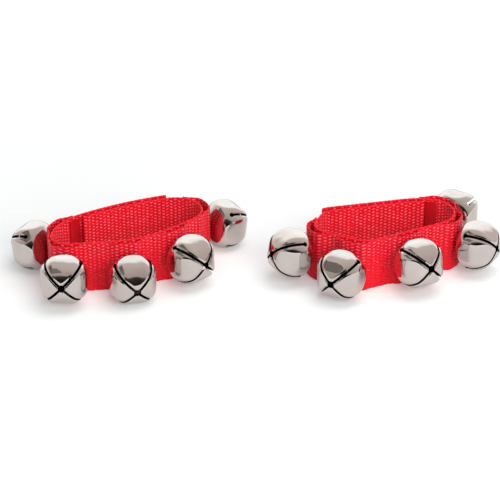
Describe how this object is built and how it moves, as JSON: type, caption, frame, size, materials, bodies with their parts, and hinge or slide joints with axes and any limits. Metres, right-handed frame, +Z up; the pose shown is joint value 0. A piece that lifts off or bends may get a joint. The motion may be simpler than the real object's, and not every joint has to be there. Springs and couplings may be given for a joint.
{
  "type": "wrist bells",
  "caption": "Pair of red webbing wrist bands closed by hook-and-loop flaps, each carrying a row of shiny cross-cut jingle bells with loose pellets.",
  "frame": {"origin": "on the resting plane, under the middle of the box round both bands", "axes": "+Z up along the width of the webbing, +X from the left band to the right band, +Y away from the viewer"},
  "size_m": [0.233, 0.0914, 0.0254],
  "materials": {
    "webbing": "coarse woven polypropylene webbing",
    "webbing_outer": "coarse woven polypropylene webbing",
    "hook_tape": "short nylon hooks",
    "loop_tape": "soft brushed loops",
    "bell_metal": "polished nickel plate",
    "shank_wire": "nickel plated steel wire",
    "pellet_steel": "plain steel shot",
    "steel_pin": "plain steel pin"
  },
  "bodies": {
    "left_band": {"left_strap": "webbing", "left_bell_carrier": "webbing_outer", "left_hook_patch": "hook_tape", "left_retaining_pins": "steel_pin"},
    "left_flap": {"left_flap": "webbing", "left_loop_patch": "loop_tape"},
    "left_bell_1": {"left_bell_shell_1": "bell_metal", "left_bell_shank_1": "shank_wire"},
    "left_pellet_1": {"left_bell_pellet_1": "pellet_steel"},
    "left_bell_2": {"left_bell_shell_2": "bell_metal", "left_bell_shank_2": "shank_wire"},
    "left_pellet_2": {"left_bell_pellet_2": "pellet_steel"},
    "left_bell_3": {"left_bell_shell_3": "bell_metal", "left_bell_shank_3": "shank_wire"},
    "left_pellet_3": {"left_bell_pellet_3": "pellet_steel"},
    "left_bell_4": {"left_bell_shell_4": "bell_metal", "left_bell_shank_4": "shank_wire"},
    "left_pellet_4": {"left_bell_pellet_4": "pellet_steel"},
    "left_bell_5": {"left_bell_shell_5": "bell_metal", "left_bell_shank_5": "shank_wire"},
    "left_pellet_5": {"left_bell_pellet_5": "pellet_steel"},
    "right_band": {"right_strap": "webbing", "right_bell_carrier": "webbing_outer", "right_hook_patch": "hook_tape", "right_retaining_pins": "steel_pin"},
    "right_flap": {"right_flap": "webbing", "right_loop_patch": "loop_tape"},
    "right_bell_1": {"right_bell_shell_1": "bell_metal", "right_bell_shank_1": "shank_wire"},
    "right_pellet_1": {"right_bell_pellet_1": "pellet_steel"},
    "right_bell_2": {"right_bell_shell_2": "bell_metal", "right_bell_shank_2": "shank_wire"},
    "right_pellet_2": {"right_bell_pellet_2": "pellet_steel"},
    "right_bell_3": {"right_bell_shell_3": "bell_metal", "right_bell_shank_3": "shank_wire"},
    "right_pellet_3": {"right_bell_pellet_3": "pellet_steel"},
    "right_bell_4": {"right_bell_shell_4": "bell_metal", "right_bell_shank_4": "shank_wire"},
    "right_pellet_4": {"right_bell_pellet_4": "pellet_steel"},
    "right_bell_5": {"right_bell_shell_5": "bell_metal", "right_bell_shank_5": "shank_wire"},
    "right_pellet_5": {"right_bell_pellet_5": "pellet_steel"}
  },
  "joints": [
    {"name": "left_flap_peel", "type": "hinge", "parent": "left_band", "child": "left_flap", "pos_m": [-0.08166, 0.0114, 0.0125], "axis": [0, 0, 1], "range_deg": [0, 50]},
    {"name": "left_bell_1_tilt", "type": "hinge", "parent": "left_band", "child": "left_bell_1", "pos_m": [-0.02492, 0.02137, 0.0125], "axis": [0.4696, -0.8829, 0], "range_deg": [-0.5, 18.5]},
    {"name": "left_pellet_1_rattle", "type": "slide", "parent": "left_bell_1", "child": "left_pellet_1", "axis": [0.1152, 0.0613, 0.9914], "range_m": [0, 0.0134]},
    {"name": "left_bell_2_tilt", "type": "hinge", "parent": "left_band", "child": "left_bell_2", "pos_m": [-0.0377, -0.00597, 0.0125], "axis": [-0.7396, -0.673, 0], "range_deg": [-11.9, 7.1]},
    {"name": "left_pellet_2_rattle", "type": "slide", "parent": "left_bell_2", "child": "left_pellet_2", "axis": [-0.0458, 0.0503, 0.9977], "range_m": [0, 0.0134]},
    {"name": "left_bell_3_tilt", "type": "hinge", "parent": "left_band", "child": "left_bell_3", "pos_m": [-0.05936, -0.01922, 0.0125], "axis": [-0.9659, -0.259, 0], "range_deg": [-0.5, 18.5]},
    {"name": "left_pellet_3_rattle", "type": "slide", "parent": "left_bell_3", "child": "left_pellet_3", "axis": [0.0338, -0.1261, 0.9914], "range_m": [0, 0.0134]},
    {"name": "left_bell_4_tilt", "type": "hinge", "parent": "left_band", "child": "left_bell_4", "pos_m": [-0.08742, -0.02327, 0.0125], "axis": [-0.9997, 0.0249, 0], "range_deg": [-13.2, 5.8]},
    {"name": "left_pellet_4_rattle", "type": "slide", "parent": "left_bell_4", "child": "left_pellet_4", "axis": [0.0023, 0.0906, 0.9959], "range_m": [0, 0.0134]},
    {"name": "left_bell_5_tilt", "type": "hinge", "parent": "left_band", "child": "left_bell_5", "pos_m": [-0.09472, -0.00071, 0.0125], "axis": [0.4204, 0.9073, 0], "range_deg": [-0.5, 18.5]},
    {"name": "left_pellet_5_rattle", "type": "slide", "parent": "left_bell_5", "child": "left_pellet_5", "axis": [-0.1184, 0.0549, 0.9914], "range_m": [0, 0.0134]},
    {"name": "right_band_lift", "type": "slide", "parent": "left_band", "child": "right_band", "axis": [0, 0, 1], "range_m": [0, 0.12]},
    {"name": "right_flap_peel", "type": "hinge", "parent": "right_band", "child": "right_flap", "pos_m": [0.07905, 0.02716, 0.0125], "axis": [0, 0, -1], "range_deg": [0, 50]},
    {"name": "right_bell_1_tilt", "type": "hinge", "parent": "right_band", "child": "right_bell_1", "pos_m": [0.02714, -0.00589, 0.0125], "axis": [-0.4359, 0.9, 0], "range_deg": [-18.5, 0.5]},
    {"name": "right_pellet_1_rattle", "type": "slide", "parent": "right_bell_1", "child": "right_pellet_1", "axis": [0.164, 0.0794, 0.9833], "range_m": [0, 0.0134]},
    {"name": "right_bell_2_tilt", "type": "hinge", "parent": "right_band", "child": "right_bell_2", "pos_m": [0.0449, -0.01801, 0.0125], "axis": [-0.8805, 0.4741, 0], "range_deg": [-7.7, 11.3]},
    {"name": "right_pellet_2_rattle", "type": "slide", "parent": "right_bell_2", "child": "right_pellet_2", "axis": [-0.0025, -0.0046, 1], "range_m": [0, 0.0134]},
    {"name": "right_bell_3_tilt", "type": "hinge", "parent": "right_band", "child": "right_bell_3", "pos_m": [0.07091, -0.0111, 0.0125], "axis": [-0.8829, -0.4695, 0], "range_deg": [-18.5, 0.5]},
    {"name": "right_pellet_3_rattle", "type": "slide", "parent": "right_bell_3", "child": "right_pellet_3", "axis": [-0.0856, 0.1609, 0.9833], "range_m": [0, 0.0134]},
    {"name": "right_bell_4_tilt", "type": "hinge", "parent": "right_band", "child": "right_bell_4", "pos_m": [0.09534, 0.00438, 0.0125], "axis": [-0.5243, -0.8515, 0], "range_deg": [-14.6, 4.4]},
    {"name": "right_pellet_4_rattle", "type": "slide", "parent": "right_bell_4", "child": "right_pellet_4", "axis": [-0.0979, 0.0603, 0.9934], "range_m": [0, 0.0134]},
    {"name": "right_bell_5_tilt", "type": "hinge", "parent": "right_band", "child": "right_bell_5", "pos_m": [0.09146, 0.02549, 0.0125], "axis": [0.7927, -0.6096, 0], "range_deg": [-10.1, 8.9]},
    {"name": "right_pellet_5_rattle", "type": "slide", "parent": "right_bell_5", "child": "right_pellet_5", "axis": [-0.0223, -0.029, 0.9993], "range_m": [0, 0.0134]}
  ]
}
